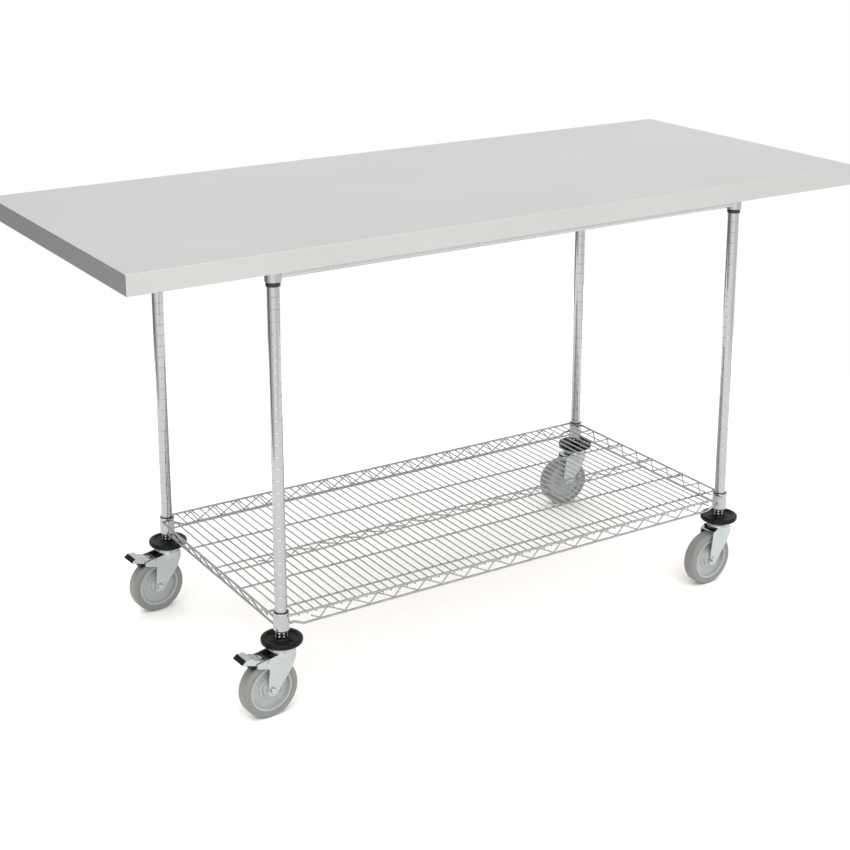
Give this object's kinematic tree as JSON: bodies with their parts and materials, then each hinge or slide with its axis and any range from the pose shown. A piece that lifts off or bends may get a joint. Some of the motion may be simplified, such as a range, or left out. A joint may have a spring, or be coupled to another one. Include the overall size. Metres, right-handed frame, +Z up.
{
  "type": "mobile work table",
  "caption": "Mobile kitchen work table: folded stainless top on grooved chrome posts, wire undershelf and swivel casters, some with brakes.",
  "frame": {"origin": "on the floor under the centre of the top's outline", "axes": "+X along the length of the top, +Y from the front long edge to the rear one, +Z up"},
  "size_m": [1.8288, 0.762, 1.0033],
  "materials": {
    "stainless_sheet": "brushed",
    "core_board": "matte",
    "galvanised_frame": "satin",
    "zinc_screws": "satin",
    "chrome_plate": "polished",
    "chrome_wire": "polished",
    "black_plastic": "satin",
    "zinc_plate": "satin",
    "bumper_rubber": "satin",
    "hub_plastic": "satin",
    "tread_rubber": "satin",
    "white_nylon": "satin",
    "brake_rubber": "matte"
  },
  "bodies": {
    "table": {"top_sheet": "stainless_sheet", "top_core": "core_board", "frame_rail_front": "galvanised_frame", "frame_rail_rear": "galvanised_frame", "frame_rail_left": "galvanised_frame", "frame_rail_right": "galvanised_frame", "cross_channels": "galvanised_frame", "frame_screws": "zinc_screws", "top_collars": "chrome_plate", "top_sleeves": "black_plastic", "post_front_left": "chrome_plate", "post_rear_left": "chrome_plate", "post_front_right": "chrome_plate", "post_rear_right": "chrome_plate", "post_plugs": "black_plastic", "shelf_collars": "chrome_plate", "shelf_sleeves": "black_plastic", "neck_bushes": "white_nylon", "shelf_truss_front": "chrome_wire", "shelf_truss_rear": "chrome_wire", "shelf_truss_left": "chrome_wire", "shelf_truss_right": "chrome_wire", "shelf_truss_centre": "chrome_wire", "deck_wires": "chrome_wire", "support_wires": "chrome_wire", "caster_stems": "zinc_plate", "caster_races": "zinc_plate", "bumpers": "bumper_rubber"},
    "caster_front_left": {"fork_front_left": "zinc_plate", "fork_pins_front_left": "zinc_plate", "wheel_guard_front_left": "black_plastic"},
    "wheel_front_left": {"wheel_hub_front_left": "hub_plastic", "wheel_tread_front_left": "tread_rubber"},
    "brake_front_left": {"brake_lever_front_left": "zinc_plate", "brake_spring_front_left": "zinc_plate", "brake_pedal_front_left": "zinc_plate", "brake_rubbers_front_left": "brake_rubber"},
    "caster_rear_left": {"fork_rear_left": "zinc_plate", "fork_pins_rear_left": "zinc_plate", "wheel_guard_rear_left": "black_plastic"},
    "wheel_rear_left": {"wheel_hub_rear_left": "hub_plastic", "wheel_tread_rear_left": "tread_rubber"},
    "brake_rear_left": {"brake_lever_rear_left": "zinc_plate", "brake_spring_rear_left": "zinc_plate", "brake_pedal_rear_left": "zinc_plate", "brake_rubbers_rear_left": "brake_rubber"},
    "caster_front_right": {"fork_front_right": "zinc_plate", "fork_pins_front_right": "zinc_plate"},
    "wheel_front_right": {"wheel_hub_front_right": "hub_plastic", "wheel_tread_front_right": "tread_rubber"},
    "caster_rear_right": {"fork_rear_right": "zinc_plate", "fork_pins_rear_right": "zinc_plate"},
    "wheel_rear_right": {"wheel_hub_rear_right": "hub_plastic", "wheel_tread_rear_right": "tread_rubber"}
  },
  "joints": [
    {"name": "swivel_front_left", "type": "hinge", "parent": "table", "child": "caster_front_left", "pos_m": [-0.579, -0.296, 0.1485], "axis": [0, 0, 1], "continuous": true},
    {"name": "roll_front_left", "type": "hinge", "parent": "caster_front_left", "child": "wheel_front_left", "pos_m": [-0.61395, -0.29783, 0.0635], "axis": [0.0523, -0.9986, 0], "continuous": true},
    {"name": "brake_front_left", "type": "hinge", "parent": "caster_front_left", "child": "brake_front_left", "pos_m": [-0.62094, -0.2982, 0.1295], "axis": [-0.0523, 0.9986, 0], "range_deg": [0, 10]},
    {"name": "swivel_rear_left", "type": "hinge", "parent": "table", "child": "caster_rear_left", "pos_m": [-0.579, 0.278, 0.1485], "axis": [0, 0, 1], "continuous": true},
    {"name": "roll_rear_left", "type": "hinge", "parent": "caster_rear_left", "child": "wheel_rear_left", "pos_m": [-0.61391, 0.27556, 0.0635], "axis": [0.0698, -0.9976, 0], "continuous": true},
    {"name": "brake_rear_left", "type": "hinge", "parent": "caster_rear_left", "child": "brake_rear_left", "pos_m": [-0.6209, 0.27507, 0.1295], "axis": [-0.0698, 0.9976, 0], "range_deg": [0, 10]},
    {"name": "swivel_front_right", "type": "hinge", "parent": "table", "child": "caster_front_right", "pos_m": [0.607, -0.296, 0.1485], "axis": [0, 0, 1], "continuous": true},
    {"name": "roll_front_right", "type": "hinge", "parent": "caster_front_right", "child": "wheel_front_right", "pos_m": [0.57208, -0.29844, 0.0635], "axis": [0.0698, -0.9976, 0], "continuous": true},
    {"name": "swivel_rear_right", "type": "hinge", "parent": "table", "child": "caster_rear_right", "pos_m": [0.607, 0.278, 0.1485], "axis": [0, 0, 1], "continuous": true},
    {"name": "roll_rear_right", "type": "hinge", "parent": "caster_rear_right", "child": "wheel_rear_right", "pos_m": [0.57234, 0.28287, 0.0635], "axis": [-0.1392, -0.9903, 0], "continuous": true}
  ]
}
